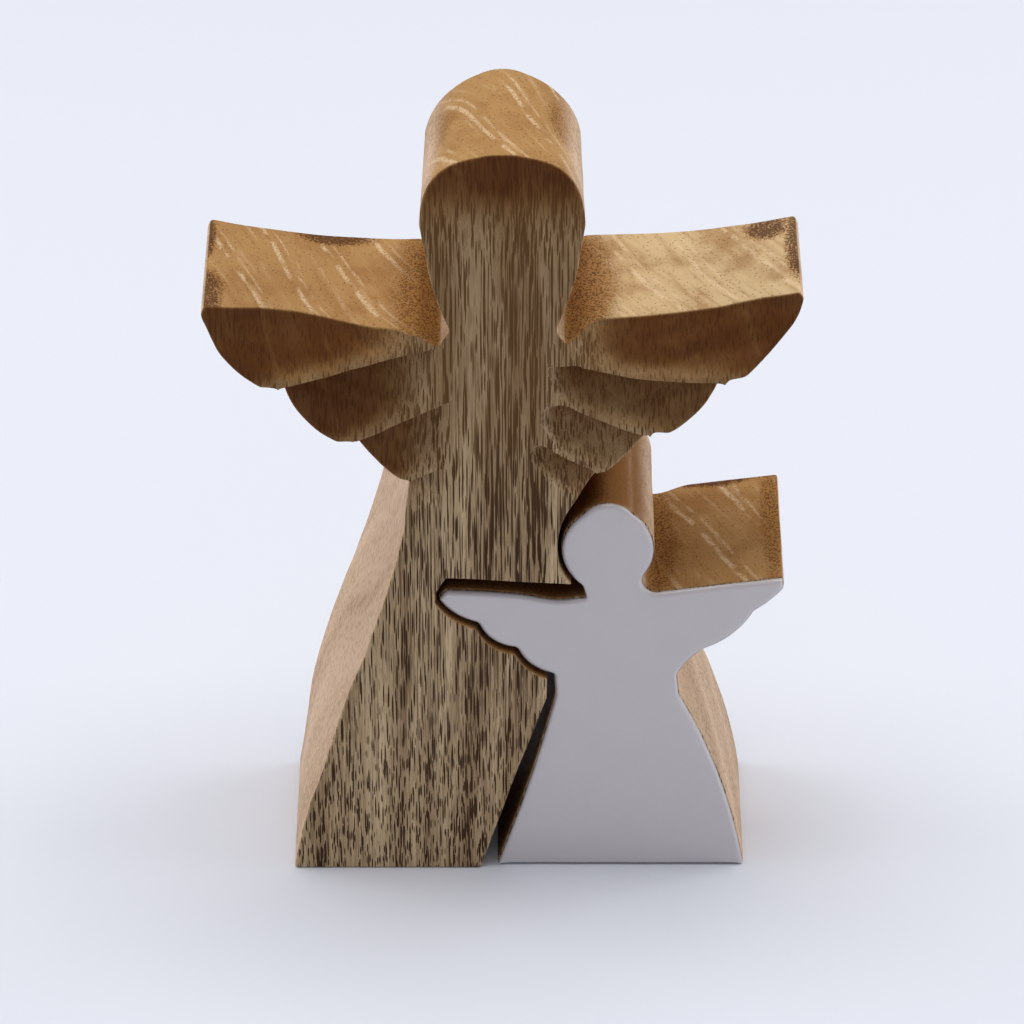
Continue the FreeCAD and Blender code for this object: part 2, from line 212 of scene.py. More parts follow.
# %% Draw the lips of each wing
# Each lip runs from the outer end of the feather in towards the body, as (out from the axis, z).
LIPS = {
    -1: (
        ((52, 102.6), (41, 103.6), (37.8, 104.9), (30, 107.3), (20, 110.8), (11.5, 113.6)),
        ((38, 91.8), (28, 92.7), (24.7, 94.1), (20, 96.5), (15, 99.3), (8.2, 103.0)),
        ((26, 83.8), (17.2, 84.6), (15.4, 85.8), (11.7, 88.0), (8.9, 89.4), (6.5, 90.8)),
    ),
    1: (
        ((52, 104.6), (41, 105.4), (37.4, 106.2), (30, 106.5), (22, 107.3), (13.2, 109.6)),
        ((38, 93.0), (28, 94.0), (25.4, 94.9), (20, 96.9), (14, 99.8), (8.4, 102.8)),
        ((26, 85.6), (17.2, 86.6), (15.0, 88.2), (11.5, 90.2), (8.5, 92.4), (5.4, 94.4)),
    ),
}


def lip_height(side, lip, out):
    """Height of a lip at this distance from the axis, on a smooth line through its places."""
    places = np.array(LIPS[side][lip][::-1], float)
    knots, heights = places.T
    slopes = np.gradient(heights, knots)
    index = np.clip(np.searchsorted(knots, out) - 1, 0, len(knots) - 2)
    span = knots[index + 1] - knots[index]
    t = np.clip((out - knots[index]) / span, 0, 1)
    ease = t * t * (3 - 2 * t)
    bend = t * (1 - t) * ((1 - t) * slopes[index] - t * slopes[index + 1]) * span
    return heights[index] * (1 - ease) + heights[index + 1] * ease + bend


first_lip = [round(float(lip_height(side, 0, np.array([30.0]))[0]), 1) for side in (-1, 1)]
print("first lips 30 mm out, left and right:", first_lip, "mm above the table")

# %% [markdown]
# Each face is a gouge cut. It starts a little way out from the body, reaches its full depth over a
# short run, and is deepest at the top of the face. Oil was rubbed into the gouges, so the cut
# wood is darker, and just under the lip above a painted shade stands in for the lip's shadow.
# Both are worked out here with the depth and kept with each point of the mesh, and the finish
# reads them later on.

# %% Gouge the faces
# One number for each face, from the top feather down to the plain patch below the last one.
DEPTHS = {-1: (6.0, 3.6, 2.8, 0.9), 1: (5.8, 4.6, 3.6, 3.0)}
FACE_HEIGHTS = (11.0, 10.0, 8.5, 8.5)
GOUGE_START = {-1: (10.5, 9.0, 7.0, 6.5), 1: (9.5, 7.4, 6.4, 4.6)}
GOUGE_RUN = {-1: (9.0, 9.0, 6.0, 6.0), 1: (7.0, 1.8, 1.5, 1.6)}
ROUND_END = {-1: (0, 0, 0, 2), 1: (0, 1.6, 2.4, 3.6)}
STAINS = {-1: (1.0, 0.95, 0.75, 0.25), 1: (1.0, 0.62, 0.45, 0.45)}
STAIN_AND_SHADE_RUN = {-1: (7, 7, 6, 5), 1: (6, 2.5, 1.2, 1.0)}
# Above its lip a face climbs by this power, and the lip itself is set back by this much.
CLIMB_POWER, LIP_SETBACK, LIP_RADIUS = 0.85, 0.3, 0.45
# The top feather is shallower near its tip, by this share, between these distances out.
TIP_SHARE = {-1: 0.55, 1: 0.05}
TIP_START, TIP_END = 33, 51
# Stain at a face's foot, what the climb adds, and painted shade under the lip above with its reach.
FOOT_STAIN, CLIMB_STAIN, PAINTED_LIP_SHADE, PAINTED_LIP_SHADE_REACH = 0.38, 0.50, 0.45, 1.6
NO_LIP = 1000.0


def feather_faces(x, z):
    """Depth of the gouged faces in millimetres, and how stained they are with painted shade under
    each lip, 0 to 1.
    """
    out = np.abs(x)
    depth, stain = np.zeros_like(x), np.zeros_like(x)
    for side in (-1, 1):
        on_side = np.sign(x) == side
        lips = [lip_height(side, lip, out) for lip in range(3)]
        feet = lips + [lips[2] - FACE_HEIGHTS[3]]
        tops = [np.full_like(x, NO_LIP)] + lips
        for face, (foot, over) in enumerate(zip(feet, tops)):
            climb = np.clip((z - foot) / FACE_HEIGHTS[face], 0, 1.25)
            curve = climb ** CLIMB_POWER if face < 3 else between(0, 1, climb)
            start = GOUGE_START[side][face] + ROUND_END[side][face] * (2 * climb - 1.3) ** 2
            end = start + GOUGE_RUN[side][face]
            fade = between(start, end, out)
            cut = DEPTHS[side][face] * curve * fade
            if face == 0:
                cut = cut * (1 - TIP_SHARE[side] * between(TIP_START, TIP_END, out))
            if face < 3:
                cut = cut + LIP_SETBACK * fade * np.exp(-((z - foot) / LIP_RADIUS) ** 2)
            # Painted shade: the wood just under the lip above is darkened, standing in for the
            # lip's shadow.
            painted_under_lip = np.exp((z - over) / PAINTED_LIP_SHADE_REACH) if face else 0.0
            stain_and_shade_fade = between(start - 0.6, end + STAIN_AND_SHADE_RUN[side][face], out)
            shade = STAINS[side][face] * (FOOT_STAIN + CLIMB_STAIN * between(0.0, 0.45, climb))
            shade = stain_and_shade_fade * np.clip(shade + PAINTED_LIP_SHADE * painted_under_lip, 0, 1)
            inside = on_side & (z > foot) & (z <= over)
            depth = np.where(inside, cut, depth)
            stain = np.where(inside, shade, stain)
    return depth, stain


# The relief of the wings lies between these heights, and outside this distance from the axis.
RELIEF_LOW, RELIEF_HIGH, RELIEF_OUT = 74, 123, 3
# Faint flutes left by the gouge, which run almost along the feathers.
FLUTE_WIDTH, FLUTE_LENGTH, FLUTE_DEPTH, FLUTE_SLANT, FLUTE_SEED = 2.2, 10.0, 0.42, 0.3, 2.5
FACE_SLOPE_START, FACE_SLOPE_END, FACE_SLOPE_DEPTH, FACE_SLOPE_POWER = 129.0, 150.0, 3.3, 1.6
HEAD_LOW, HEAD_REACH = 120, 16


def mother_relief(x, z):
    """Depth, staining and painted lip shade of the feathers and of the head's face, whose top leans
    back.
    """
    wing = (z < RELIEF_HIGH) & (z > RELIEF_LOW) & (np.abs(x) > RELIEF_OUT)
    depth, stain = feather_faces(x, z)
    depth, stain = depth * wing, stain * wing
    along, across = x / FLUTE_LENGTH, (z - FLUTE_SLANT * np.abs(x)) / FLUTE_WIDTH
    marks = np.array([noise.noise(Vector((u, v, FLUTE_SEED))) for u, v in zip(along, across)])
    depth = depth + FLUTE_DEPTH * (marks + 0.5) * between(0.1, 0.6, stain)
    lean = np.clip((z - FACE_SLOPE_START) / (FACE_SLOPE_END - FACE_SLOPE_START), 0, 1)
    head = (np.abs(x) < HEAD_REACH) & (z > HEAD_LOW)
    depth = depth + np.where(head, FACE_SLOPE_DEPTH * lean ** FACE_SLOPE_POWER, 0.0)
    stain = stain + np.where(head, between(0.15, 0.95, lean), 0.0)
    return depth, stain


beside_lip = mother_relief(np.array([30.0]), np.array([106.0]))[0]
print("depth under the right wing's first lip:", round(float(beside_lip[0]), 1), "mm")

# %% [markdown]
# ## From an outline to a board
#
# A board is three skins that share their rims: the front, the back, and the sawn wall between
# them. Where the wall meets a face, the sharp arris is rounded over by a few rings, each a little
# further in and a little further out than the last. The faces are filled with an even scatter of
# points and a Delaunay triangulation, which keeps triangles fat whatever the outline does. The
# points are closer together where there is carving to show.

# %% Fill a face with points
EDGE_CLEARANCE, EXTRA_CLEARANCE = 0.3, 0.45
POINTS_AT_ONCE = 2000
TRIANGLES_INSIDE = 1  # the triangulation's mode that keeps only what lies within the outline
MERGE_WITHIN = 1e-5


def inside_line(points, line):
    """True for each point that lies within the closed line."""
    x, z = points[:, 0], points[:, 1]
    inside = np.zeros(len(points), bool)
    for (x0, z0), (x1, z1) in zip(line, np.roll(line, -1, axis=0)):
        if z0 != z1:
            crosses = (z0 > z) != (z1 > z)
            inside ^= crosses & (x < (x1 - x0) * (z - z0) / (z1 - z0) + x0)
    return inside


def gap_to(points, line):
    """Distance from each point to the nearest point of the line."""
    gaps = np.empty(len(points))
    for start in range(0, len(points), POINTS_AT_ONCE):
        part = points[start:start + POINTS_AT_ONCE]
        apart = part[:, None, :] - line[None, :, :]
        gaps[start:start + len(part)] = np.sqrt((apart ** 2).sum(axis=2).min(axis=1))
    return gaps


def scatter(line, spacing, extra=None):
    """Evenly staggered points inside the line, and the extra ones, all clear of its edge."""
    low, high = line.min(axis=0), line.max(axis=0)
    rows = np.arange(low[1], high[1], spacing * math.sqrt(3) / 2)
    points = []
    for number, z in enumerate(rows):
        x = np.arange(low[0] + spacing / 2 * (number % 2), high[0], spacing)
        points.append(np.stack([x, np.full_like(x, z)], axis=1))
    points = np.vstack(points)
    if extra is not None:
        points = np.vstack([points[gap_to(points, extra) > EXTRA_CLEARANCE * spacing], extra])
    points = points[inside_line(points, line)]
    return points[gap_to(points, line) > EDGE_CLEARANCE]


def triangulate(line, points):
    """Triangles between the line and the points, numbered with the line's points first."""
    flat = [Vector(p) for p in np.vstack([line, points])]
    rim = list(range(len(line)))
    edges = [(i, (i + 1) % len(line)) for i in rim]
    made = geometry.delaunay_2d_cdt(flat, edges, [rim], TRIANGLES_INSIDE, MERGE_WITHIN)
    faces, origins = made[2], made[3]
    assert all(len(origin) == 1 for origin in origins), "the outline crosses itself"
    order = [origin[0] for origin in origins]
    return [tuple(order[i] for i in face) for face in faces]


sample = scatter(child_line, 2.0)
print(len(sample), "points 2 mm apart fill the small angel's face")

# %% [markdown]
# The rings of the rounded arris follow a quarter circle. Each ring is the outline moved in along
# its own normals. At a narrow tip the normals would cross, so they are averaged along the line
# first, and a ring never moves further in than the wood allows.

# %% Keep the rings from crossing
KNOT_REACH = 30
LEAST_STEP = 0.12
SHRINK, SHRINK_ROUNDS = 0.85, 60


def turn_of(a, b, c):
    """Above 0 where the walk from a through b to c turns left."""
    return (b[:, 0] - a[:, 0]) * (c[:, 1] - a[:, 1]) - (b[:, 1] - a[:, 1]) * (c[:, 0] - a[:, 0])


def knotted(line):
    """True for the points of every small loop, where a step crosses one a little further on."""
    ends = np.roll(line, -1, axis=0)
    found = np.zeros(len(line), bool)
    for apart in range(2, KNOT_REACH):
        start, stop = np.roll(line, -apart, axis=0), np.roll(ends, -apart, axis=0)
        hit = (turn_of(line, ends, start) > 0) != (turn_of(line, ends, stop) > 0)
        hit &= (turn_of(start, stop, line) > 0) != (turn_of(start, stop, ends) > 0)
        if hit.any():
            for shift in range(apart + 2):
                found |= np.roll(hit, shift)
    return found


def inward_limit(line, push, inset):
    """The push of each point, shortened wherever the moved line would double back or cross."""
    along = np.roll(line, -1, axis=0) - line
    share = np.ones(len(line))
    for _ in range(SHRINK_ROUNDS):
        moved = line - push * (inset * share)[:, None]
        kept = ((np.roll(moved, -1, axis=0) - moved) * along).sum(axis=1)
        back = kept < LEAST_STEP * (along ** 2).sum(axis=1)
        tight = back | np.roll(back, 1) | knotted(moved)
        if not tight.any():
            break
        share[tight] *= SHRINK
        share = np.minimum(share, soften(share, 2))
    return push * share[:, None]


tight = inward_limit(child_line, outward(child_line), 1.0)
shortest = float(np.linalg.norm(tight, axis=1).min())
print("the small angel's outline can move in 1 mm, but only", round(shortest, 2), "mm at its tips")

# %% [markdown]
# A skin gathers the points of the board ring by ring, with the stain and painted shade of each, and
# joins them into faces. Two neighbouring rings are bridged by faces with four corners. A flat side
# is filled with triangles that start from its innermost ring.

# %% Gather points and faces
class Skin:
    """Points (x, y, z), the staining and painted shade of each one, and the faces between them."""

    def __init__(self):
        self.points, self.stains, self.faces = [], [], []
        self.count = 0

    def add(self, flat, y, stain=0.0):
        """Adds the places (x, z) at depth y, and gives the number of the first."""
        first = self.count
        depths = np.full(len(flat), 1.0) * y
        self.points.append(np.stack([flat[:, 0], depths, flat[:, 1]], axis=1))
        self.stains.append(np.full(len(flat), 1.0) * stain)
        self.count += len(flat)
        return first

    def bridge(self, upper, lower, size):
        """Faces between two rings of this many points."""
        for i in range(size):
            j = (i + 1) % size
            self.faces.append((upper + i, lower + i, lower + j, upper + j))

    def fill(self, start, ring, points, y, stain=0.0, backward=False):
        """Triangles over a ring, whose first point has this number, through the points in it."""
        first = self.add(points, y, stain)
        size = len(ring)
        for face in triangulate(ring, points):
            corners = tuple(start + i if i < size else first + i - size for i in face)
            self.faces.append(corners[::-1] if backward else corners)


SHARP_FROM = math.radians(38)


def piece_of(name, points, faces, stains):
    """A smooth object with its sharp edges kept, and the staining and painted shade of each point
    stored with it.
    """
    mesh = bpy.data.meshes.new(name)
    mesh.from_pydata([tuple(point * MM) for point in points], [], faces)
    mesh.update()
    # The stored value is the wood's stain together with painted shade under the lips and in the
    # nest's gap.
    mesh.attributes.new("stain", "FLOAT", "POINT").data.foreach_set("value", stains)
    piece = bpy.data.objects.new(name, mesh)
    bpy.context.scene.collection.objects.link(piece)
    for face in mesh.polygons:
        face.use_smooth = True
    mesh.set_sharp_from_angle(angle=SHARP_FROM)
    print(f"{name}: {len(points)} points, {len(faces)} faces")
    return piece


# %% [markdown]
# The walls of the nest, and the small angel's walls that face them, are dark: partly a scorched
# saw cut, and partly painted shade for the narrow gap between the two angels. Wherever the other
# angel's line is close by, the wall is given this darkening, starting just behind its front edge.

# %% Build a board
ARRIS_STEPS = 4
WALL_ROWS = 12
NORMAL_PASSES = 6
# Scorch and painted gap shade: how wide a gap, where it starts and is full, and how dark it gets.
SCORCH_SHADE_GAP, SCORCH_SHADE_START, SCORCH_SHADE_FULL, SCORCH_SHADE_DEPTH = 7.0, -0.2, 0.9, 0.85


def scorch_and_gap_shade(points, neighbour, front):
    """How dark a sawn wall is, with scorch and painted gap shade, where it faces the other angel's
    line across a narrow gap.
    """
    near = 1 - between(0.4 * SCORCH_SHADE_GAP, SCORCH_SHADE_GAP, gap_to(points[:, [0, 2]], neighbour))
    return SCORCH_SHADE_DEPTH * near * between(front + SCORCH_SHADE_START, front + SCORCH_SHADE_FULL, points[:, 1])


def board(name, line, relief, front, back, arris, spacing, neighbour, extra=None, taper=None):
    """A closed mesh of a sawn board. relief(x, z) gives the front's depth and its staining and
    painted shade.
    """
    push = inward_limit(line, soften(outward(line), NORMAL_PASSES), arris)
    turns = np.linspace(0, math.pi / 2, ARRIS_STEPS + 1)
    rises = [arris * (1 - math.sin(turn)) for turn in turns]
    rings = [line - push * (arris * (1 - math.cos(turn))) for turn in turns]
    inner = rings[-1]
    depth, stain = relief(inner[:, 0], inner[:, 1])
    face_y = front + depth
    skin = Skin()
    starts = [skin.add(ring, face_y + rise, stain * (1 - rise / arris))
              for ring, rise in zip(rings[::-1], rises[::-1])]
    for row in range(1, WALL_ROWS):
        share = row / WALL_ROWS
        starts.append(skin.add(line, (face_y + arris) * (1 - share) + (back - arris) * share))
    starts += [skin.add(ring, back - rise) for ring, rise in zip(rings, rises)]
    for upper, lower in zip(starts, starts[1:]):
        skin.bridge(upper, lower, len(line))

    points = scatter(inner, spacing, extra)
    depth, stain = relief(points[:, 0], points[:, 1])
    skin.fill(starts[0], inner, points, front + depth, stain)
    skin.fill(starts[-1], inner, scatter(inner, 2 * spacing), back, backward=True)

    points, stains = np.vstack(skin.points), np.concatenate(skin.stains)
    walls = points[:, 1] < back - arris
    # Walls near the other angel take the scorch and the painted shade of the narrow gap.
    stains = np.maximum(stains, scorch_and_gap_shade(points, neighbour, front) * walls)
    return piece_of(name, taper(points) if taper else points, skin.faces, stains)


print("a wall has", WALL_ROWS, "rows and an arris", ARRIS_STEPS, "steps")

# %% [markdown]
# ## The large angel
#
# The lips need extra rows of points on both sides, so that each edge is crisp and the drop below
# it is nearly upright. Two things then move the finished board off true: the left side of the
# skirt was sawn with the blade leaning, so it is wider at the back, and sanding has left every
# face very slightly wavy.

# %% Rows of points along the lips
LIP_STEP = 0.4
LIP_OFFSETS = (-0.9, -0.45, -0.08, 0.08, 0.35, 0.75)
WAVE_SHIFT = (17.3, 5.1, 9.7)


def lip_rows():
    """Rows of points along every lip, just above and just below it."""
    rows = []
    for side in (-1, 1):
        for lip in range(3):
            places = LIPS[side][lip]
            out = np.arange(places[-1][0], places[1][0], LIP_STEP)
            for offset in LIP_OFFSETS:
                rows.append(np.stack([side * out, lip_height(side, lip, out) + offset], axis=1))
    return np.vstack(rows)


def wave(points, size, seed):
    """A smooth random value between -1 and 1 for each point, changing over this size."""
    shift = Vector([seed * part for part in WAVE_SHIFT])
    return np.array([noise.noise(Vector(p) / size + shift) for p in points])


extra_points = lip_rows()
print(len(extra_points), "extra points along the lips")

# %% Carve the large angel
HALF_DEPTH = 15.0
# The lean of the skirt's side, how far in it reaches, and the heights it fades between.
LEAN, LEAN_REACH = 1.2, 6.0
LEAN_FOOT, LEAN_FULL, LEAN_FADE, LEAN_TOP = 4.0, 26, 72, 86.0
SKIRT_SIDE = -12.5
on_side = (mother_line[:, 0] < SKIRT_SIDE) & (mother_line[:, 1] < LEAN_TOP)
skirt_side = mother_line[on_side]
skirt_side = skirt_side[np.argsort(skirt_side[:, 1])]
# The front of the head is squarer than its back: more at its sides and most at its corners.
HEAD_MIDDLE, HEAD_RADIUS = 136.0, 13.5
HEAD_SIDE, HEAD_CORNER = 0.5, 2.2
SQUARER_FROM, SQUARER_FULL = 132.0, 138.0
# Sanding leaves waves and nicks, but none at the foot, the crown or the tips of the wings.
CROWN, WING_TIP, CALM = 148, 49.5, 2.0
WAVE_HEIGHT, WAVE_LENGTH = 0.14, 8.0
NICK_DEPTH, NICK_LENGTH = 0.10, 5.0


def hand_finish(points):
    """Lean of the skirt's left side, the squarer face of the head, and the sander's waves."""
    x, y, z = points.T
    moved = points.copy()
    edge = np.interp(z, skirt_side[:, 1], skirt_side[:, 0])
    side = between(0, LEAN_REACH, edge + LEAN_REACH - x) * between(LEAN_FOOT, LEAN_FULL, z)
    side = side * (1 - between(LEAN_FADE, LEAN_TOP, z))
    moved[:, 0] -= LEAN * side * y / HALF_DEPTH
    forward = (HALF_DEPTH - y) / (2 * HALF_DEPTH)
    turn = np.arctan2(np.abs(x), z - HEAD_MIDDLE)
    reach = np.hypot(x, z - HEAD_MIDDLE) / HEAD_RADIUS
    push = HEAD_SIDE * np.sin(turn) + HEAD_CORNER * np.sin(2 * turn) ** 2
    push *= forward * reach ** 2 * between(SQUARER_FROM, SQUARER_FULL, z)
    moved[:, 0] += push * np.sin(turn) * np.sign(x)
    moved[:, 2] += push * np.cos(turn)
    inner = between(0, CALM, np.minimum(z, CROWN - z)) * between(0, CALM, WING_TIP - np.abs(x))
    for axis, seed in ((0, 1), (2, 3)):
        moved[:, axis] += WAVE_HEIGHT * wave(points, WAVE_LENGTH, seed) * inner
    moved[:, 1] += NICK_DEPTH * (wave(points, NICK_LENGTH, 4) + 1) * (y < 0) * inner
    return moved


MOTHER_ARRIS, MOTHER_SPACING = 0.5, 0.75
low, high = (np.array(corner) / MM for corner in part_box("mother_angel"))
mother = board("mother_carved", mother_line, mother_relief, low[1], high[1], MOTHER_ARRIS,
               MOTHER_SPACING, child_line, extra=extra_points, taper=hand_finish)
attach(mother, "mother")
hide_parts("mother_angel")

# %% [markdown]
# ## The small angel
#
# Its wood is a plain board: only the sawn edges and the back show, because the whole front is
# under enamel. Enamel flows while it is wet, so its edge draws back into a soft round and the
# surface keeps a slight swell. It is a thin board of its own with a large arris.

# %% Saw the small angel
def flat(x, z):
    """A front with no relief, no staining and no painted shade."""
    return np.zeros_like(x), np.zeros_like(x)


# The sag at the left wing's root: its place, half width, and the heights it fades in and out at.
WING_SAG, SAG_PLACE, SAG_WIDTH = 0.9, 9.0, 4.5
SAG_IN, SAG_OUT = (52, 59), (62, 66)
# The lift of the right wing at the back: from where out, and from what height, it starts.
WING_LIFT, LIFT_OUT, LIFT_UP = 1.2, (27, 33), (54, 62)
SMALL_WAVE = 0.10


def small_wave(points):
    """The sag and lift of the small wings, and faint waves in the sawn edges."""
    x, y, z = points.T
    moved = points.copy()
    lift = between(*LIFT_OUT, x) * between(*LIFT_UP, z)
    moved[:, 2] += WING_LIFT * lift * (y + HALF_DEPTH) / (2 * HALF_DEPTH)
    root = np.exp(-((x - SAG_PLACE) / SAG_WIDTH) ** 2) * between(*SAG_IN, z)
    moved[:, 2] -= WING_SAG * root * (1 - between(*SAG_OUT, z))
    inner = between(0, CALM, z)
    for axis, seed in ((0, 5), (2, 6)):
        moved[:, axis] += SMALL_WAVE * wave(points, WAVE_LENGTH, seed) * inner
    return moved


CHILD_ARRIS, CHILD_SPACING = 0.4, 1.2
wood_low, wood_high = (np.array(corner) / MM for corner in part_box("child_angel"))
child = board("child_sawn", child_line, flat, wood_low[1], wood_high[1], CHILD_ARRIS,
              CHILD_SPACING, mother_line, taper=small_wave)
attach(child, "child")
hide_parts("child_angel")

# %% Coat the small angel's face
ENAMEL_ROUND, ENAMEL_SPACING = 0.8, 0.9
ENAMEL_SETBACK, ENAMEL_OVERLAP = 0.15, 0.3
SWELL_HEIGHT, SWELL_LENGTH, FACE_BAND = 0.07, 7.0, 0.3
coat_low, coat_high = (np.array(corner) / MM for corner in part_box("child_enamel"))


def swell(points):
    """The enamel's surface rises and falls very slightly, as paint does when it levels."""
    moved = small_wave(points)
    on_face = points[:, 1] < coat_low[1] + FACE_BAND
    moved[:, 1] += SWELL_HEIGHT * (wave(points, SWELL_LENGTH, 8) + 1) * on_face
    return moved


coat_line = child_line - ENAMEL_SETBACK * outward(child_line)
coat = board("child_enamel_coat", coat_line, flat, coat_low[1], coat_high[1] + ENAMEL_OVERLAP,
             ENAMEL_ROUND, ENAMEL_SPACING, mother_line, taper=swell)
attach(coat, "child")
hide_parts("child_enamel")

# %% [markdown]
# ## Writing shader maths as Python
#
# A finish is a graph of nodes. Wiring it by hand hides what it computes, so a small class wraps
# one output socket and lets it be added, multiplied and compared like a number. Each operation
# adds the Math node that does it. Numbers alone are worked out in Python.

# %% A socket that does arithmetic
class Wire:
    """An output socket. Arithmetic on it adds Math nodes to the finish it belongs to."""

    def __init__(self, finish, socket):
        self.finish = finish
        self.socket = socket

    def math(self, operation, *values):
        return self.finish.node("ShaderNodeMath", {"operation": operation}, dict(enumerate(values)))

    def __add__(self, other):
        return self.math("ADD", self, other)

    def __sub__(self, other):
        return self.math("SUBTRACT", self, other)

    def __rsub__(self, other):
        return self.math("SUBTRACT", other, self)

    def __mul__(self, other):
        return self.math("MULTIPLY", self, other)

    def __truediv__(self, other):
        return self.math("DIVIDE", self, other)

    __radd__ = __add__
    __rmul__ = __mul__

    def size(self):
        return self.math("ABSOLUTE", self)

    def larger(self, other):
        return self.math("MAXIMUM", self, other)

    def square(self):
        return self * self

    def lift(self, least, more):
        """At least this much, and this much more where the wire is 1."""
        return least + self * more

    def clamp(self):
        return self.math("MINIMUM", self.larger(0.0), 1.0)

    def fraction(self):
        return self.math("FRACT", self)

    def step(self, low, high):
        """0 where this is at low, 1 at high, smooth between; low may be above high."""
        span = {"From Min": low, "From Max": high}
        settings = {"interpolation_type": "SMOOTHSTEP"}
        return self.finish.node("ShaderNodeMapRange", settings, {"Value": self, **span})


print("sockets can now be added, multiplied and stepped")

# %% [markdown]
# Every other kind of node comes from one method of the finish, which sets the node up first and
# then feeds its sockets with numbers or with wires.

# %% A finish and its nodes
class Finish:
    """A material with one Principled shader, and the nodes that drive it."""

    def __init__(self, name, **fixed):
        self.material = bpy.data.materials.new(name)
        self.material.use_nodes = True
        self.tree = self.material.node_tree
        self.shader = self.tree.nodes["Principled BSDF"]
        for socket, value in fixed.items():
            self.shader.inputs[socket.replace("_", " ")].default_value = value

    def node(self, kind, settings=None, inputs=None, output=0):
        """A new node: its settings first, then the values or links of its sockets."""
        node = self.tree.nodes.new(kind)
        for name, value in (settings or {}).items():
            setattr(node, name, value)
        for name, value in (inputs or {}).items():
            self.feed(node.inputs[name], value)
        return Wire(self, node.outputs[output])

    def feed(self, socket, value):
        if isinstance(value, Wire):
            self.tree.links.new(value.socket, socket)
        elif isinstance(value, tuple) and socket.type == "RGBA":
            socket.default_value = (*value, 1)
        else:
            socket.default_value = value

    def drive(self, **inputs):
        """Links the shader's own sockets."""
        for name, value in inputs.items():
            self.feed(self.shader.inputs[name.replace("_", " ")], value)

    def mix(self, share, first, second):
        """A colour that goes from first to second as share goes from 0 to 1."""
        settings = {"data_type": "RGBA"}
        return self.node("ShaderNodeMix", settings, {0: share, 6: first, 7: second}, output=2)

    def place(self):
        """Where each point lies in the piece, in millimetres."""
        where = self.node("ShaderNodeTexCoord", output=3)
        return self.node("ShaderNodeVectorMath", {"operation": "SCALE"},
                         {0: where, "Scale": 1 / MM})

    def parts(self, vector):
        """The three numbers of a vector, as wires."""
        first = self.node("ShaderNodeSeparateXYZ", inputs={0: vector})
        return [Wire(self, socket) for socket in first.socket.node.outputs]

    def point(self, x=0.0, y=0.0, z=0.0):
        return self.node("ShaderNodeCombineXYZ", inputs={0: x, 1: y, 2: z})

    def stretch(self, place, scale, shift=(0, 0, 0)):
        """The place squeezed by a different amount along each axis, then shifted."""
        return self.node("ShaderNodeVectorMath", {"operation": "MULTIPLY_ADD"},
                         {0: place, 1: scale, 2: shift})

    def bump(self, height, strength, relief):
        """A normal bent by the height, whose full range stands for this many millimetres."""
        return self.node("ShaderNodeBump",
                         inputs={"Strength": strength, "Distance": relief * MM, "Height": height})

    def noise(self, place, detail=2.0, roughness=0.5):
        """A cloudy value around a half, which changes over about one unit of the place."""
        return self.node("ShaderNodeTexNoise", {"noise_dimensions": "3D"},
                         {"Vector": place, "Scale": 1.0, "Detail": detail,
                          "Roughness": roughness})

    def cells(self, place):
        """Distance to the nearest of a scatter of points, one to each unit cube."""
        return self.node("ShaderNodeTexVoronoi", {"feature": "F1"},
                         {"Vector": place, "Scale": 1.0})


print("a finish can now place, mix, stretch and bend")

# %% [markdown]
# ## Open-grained wood
#
# A picture of wood would slide over the edges of the carving. Real figure goes through the
# block, so the wood here is solid: its colour depends on the place inside the board. The trunk
# ran upwards. Growth rings are nearly flat sheets that stand on edge and cross the board at a
# slant, so they show as pale lines on top of the wings and as broad upright bands on the front.
# Vessels are thin tubes along the trunk: long dark dashes on the front, dots on the end grain.
#
# Both angels take the same finish in the same frame, so the figure runs on from one to the other.
#
# The rings come first. Their number grows with the distance across the board, and a slow noise
# makes the sheets wander. A second noise, read along that number, gives the broad bands.

# %% Growth rings
RING_ACROSS, RING_BACK = 0.87, 0.5
RING_WIDTH, RING_WANDER = 8.5, 9.0
WANDER_GRAIN = (0.03, 0.03, 0.012)
BANDS_TO_A_RING, BAND_DRIFT = 1.7, 0.006


def rings_of(finish, place):
    """The number of each ring, counted across the board."""
    x, y, _ = finish.parts(place)
    slow = finish.noise(finish.stretch(place, WANDER_GRAIN), detail=1.0)
    return (x * RING_ACROSS + y * RING_BACK + (slow - 0.5) * RING_WANDER) / RING_WIDTH


def bands_of(finish, ring, z):
    """Broad upright bands that follow the rings, between 0 and 1."""
    along = finish.point(ring * BANDS_TO_A_RING, z * BAND_DRIFT)
    return finish.noise(along, detail=3.0, roughness=0.6)


band_width = RING_WIDTH / BANDS_TO_A_RING
print("a growth ring every", RING_WIDTH, "mm and a band every", round(band_width, 1), "mm")

# %% [markdown]
# A vessel is a tube, so it is drawn as a long thin cell: space is squeezed across the trunk and
# stretched along it, and the inside of each cell is dark. Low on the skirts the tubes were cut
# short, so they show as dashes, and up the middle of the board they run on as long threads. The
# cells are deeper than they are wide, so they still read as dashes on the sloping feathers.

# %% Vessels
# Cells to the millimetre, across the board, from front to back and along the trunk. Then the
# shift of the pattern, how far crowding widens the tubes, and where the edge of a tube begins.
DASHES = (2.6, 1.1, 0.28), (0, 0, 0), 0.34, 0.36
STREAKS = (2.3, 0.9, 0.12), (11, 4, 7), 0.36, 0.37
LONG_TUBES = (2.1, 0.9, 0.05), (2, 14, 5), 0.36, 0.39
TUBE_CORE, CROWDING = 0.30, 1.5
# The threads are too fine to be tubes, so they are the peaks of a noise.
THREAD_GRAIN, THREAD_SHIFT, THREAD_SPREAD = (3.6, 1.2, 0.035), (5, 9, 2), 0.22
THREAD_EDGE, THREAD_CORE = 0.57, 0.63
